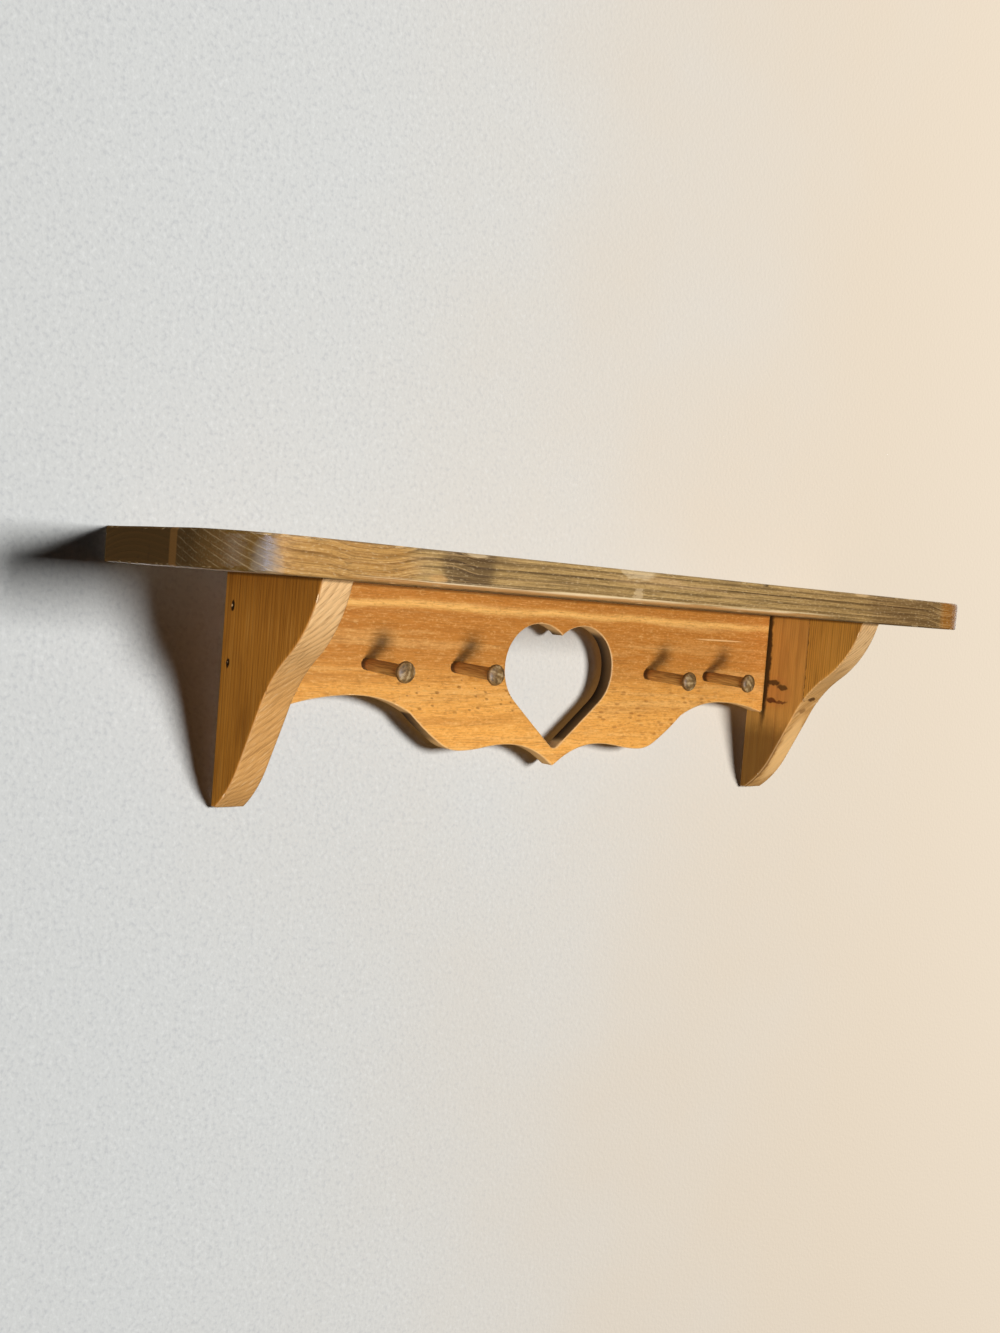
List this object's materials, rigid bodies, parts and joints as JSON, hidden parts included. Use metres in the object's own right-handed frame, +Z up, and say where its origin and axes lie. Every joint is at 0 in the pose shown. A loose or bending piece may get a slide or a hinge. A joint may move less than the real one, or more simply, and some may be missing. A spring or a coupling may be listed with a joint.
{
  "type": "shaker peg rail with shelf",
  "caption": "Wall shelf on two ogee brackets, with a scalloped, heart-cut peg rail between them and turned pegs to hang things on.",
  "frame": {"origin": "on the wall plane, at the middle of the shelf's length and at the level of the shelf's underside", "axes": "+X along the length, to the right as seen from the room; +Y into the wall; +Z up. The wall is the plane Y = 0 and the object lies at Y < 0"},
  "size_m": [0.61, 0.132, 0.15],
  "materials": {
    "shelf_pine": "worn grey-brown stain on pine, satin",
    "rail_pine": "honey-stained pine, satin wax",
    "bracket_pine": "golden-brown stained pine, satin wax, with paler sawn edges",
    "peg_wood": "turned hardwood, stained brown, satin",
    "nail_steel": "dull dark wire nail, lightly rusted",
    "hanger_steel": "zinc-plated steel, satin"
  },
  "bodies": {
    "root": {"shelf_board": "shelf_pine", "peg_rail": "rail_pine", "left_bracket_rear_board": "bracket_pine", "left_bracket_front_board": "bracket_pine", "right_bracket_rear_board": "bracket_pine", "right_bracket_front_board": "bracket_pine", "peg_outer_left": "peg_wood", "peg_inner_left": "peg_wood", "peg_inner_right": "peg_wood", "peg_outer_right": "peg_wood", "left_bracket_nails": "nail_steel", "right_bracket_nails": "nail_steel", "shelf_nails": "nail_steel", "left_hanger_plate": "hanger_steel", "right_hanger_plate": "hanger_steel", "hanger_screws": "hanger_steel"}
  },
  "joints": []
}
